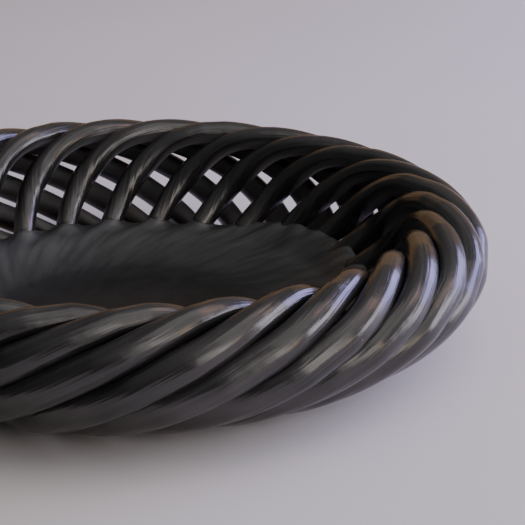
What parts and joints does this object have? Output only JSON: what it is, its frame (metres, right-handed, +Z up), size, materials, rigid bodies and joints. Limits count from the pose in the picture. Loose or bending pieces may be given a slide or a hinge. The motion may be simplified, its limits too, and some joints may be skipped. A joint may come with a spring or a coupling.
{
  "type": "openwork bowl",
  "caption": "Shallow round fruit bowl of burnished black clay, a pressed dish carrying a hollow rim of slanted hand-rolled coils with open gaps between them.",
  "frame": {"origin": "centre of the flat underside of the dish, on the surface the bowl stands on", "axes": "+Z up, through the middle of the bowl; -Y is the front; +X is to the right seen from the front"},
  "size_m": [0.2992, 0.2996, 0.0577],
  "materials": {
    "coil_clay": "burnished, satin to glossy, with long strokes along each coil",
    "dish_clay": "smoke-black clay, wiped and part burnished, satin to matte"
  },
  "bodies": {
    "root": {"base_dish": "dish_clay", "coil_01": "coil_clay", "coil_02": "coil_clay", "coil_03": "coil_clay", "coil_04": "coil_clay", "coil_05": "coil_clay", "coil_06": "coil_clay", "coil_07": "coil_clay", "coil_08": "coil_clay", "coil_09": "coil_clay", "coil_10": "coil_clay", "coil_11": "coil_clay", "coil_12": "coil_clay", "coil_13": "coil_clay", "coil_14": "coil_clay", "coil_15": "coil_clay", "coil_16": "coil_clay", "coil_17": "coil_clay", "coil_18": "coil_clay", "coil_19": "coil_clay", "coil_20": "coil_clay", "coil_21": "coil_clay", "coil_22": "coil_clay", "coil_23": "coil_clay", "coil_24": "coil_clay", "coil_25": "coil_clay", "coil_26": "coil_clay", "coil_27": "coil_clay", "coil_28": "coil_clay", "coil_29": "coil_clay"}
  },
  "joints": []
}
